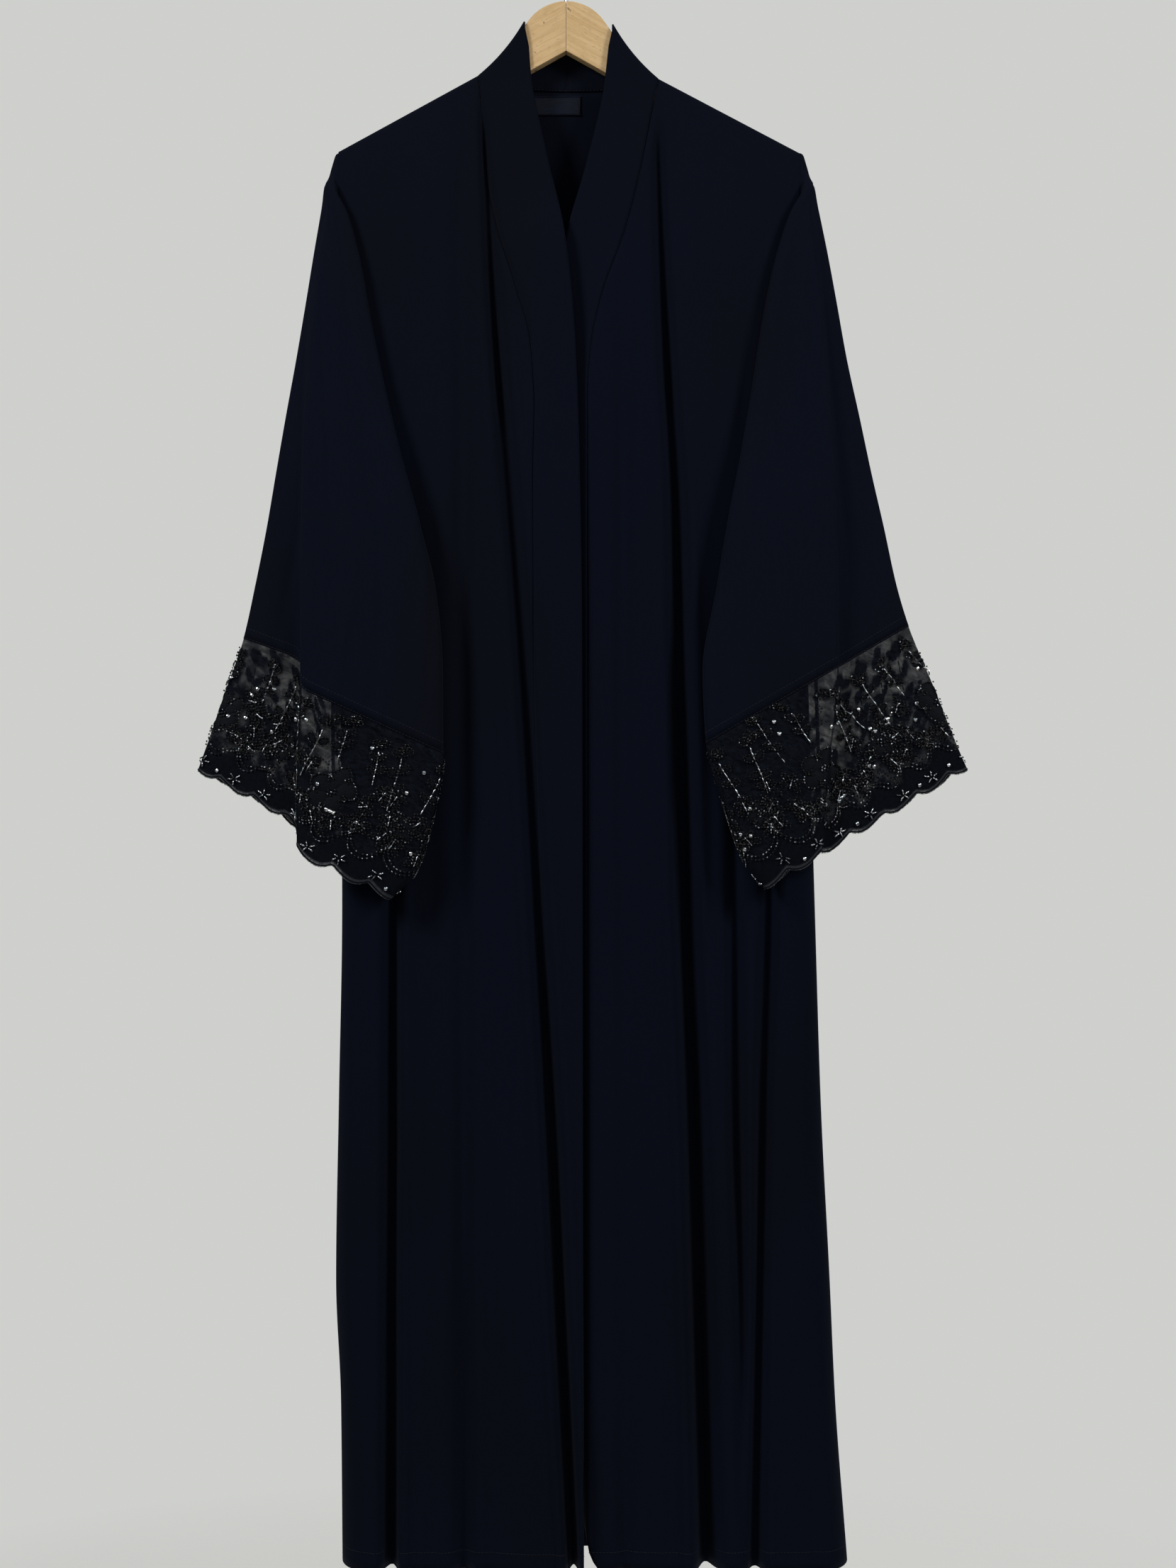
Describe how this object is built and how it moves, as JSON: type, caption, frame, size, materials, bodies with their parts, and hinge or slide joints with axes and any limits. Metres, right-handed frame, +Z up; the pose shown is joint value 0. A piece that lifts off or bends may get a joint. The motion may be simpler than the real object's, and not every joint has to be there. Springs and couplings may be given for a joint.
{
  "type": "open-front abaya cloak hanging on its flat wooden hanger",
  "caption": "Long open-front cloak with a front band, wide folded sleeves and beaded sheer cuffs, hanging flat on a wooden hanger.",
  "frame": {"origin": "inner top of the hanger's hook, where the rail bears on it", "axes": "+Z up along the hanging cloak, -Y out of its front, +X to the right of someone looking at the front"},
  "size_m": [0.6987, 0.0886, 1.4907],
  "materials": {
    "cloak_crepe": "matt black crepe",
    "band_crepe": "matt black crepe, doubled",
    "cuff_organza": "sheer black organza with embroidery and beads",
    "label_satin": "satin ribbon",
    "hanger_wood": "plain light wood",
    "hook_steel": "dark coated steel wire"
  },
  "bodies": {
    "root": {"back": "cloak_crepe", "front_left": "cloak_crepe", "front_right": "cloak_crepe", "sleeve_left": "cloak_crepe", "sleeve_right": "cloak_crepe", "band_left": "band_crepe", "band_right": "band_crepe", "cuff_left": "cuff_organza", "cuff_right": "cuff_organza", "neck_label": "label_satin", "hanger_left": "hanger_wood", "hanger_right": "hanger_wood", "hanger_hook": "hook_steel"}
  },
  "joints": []
}
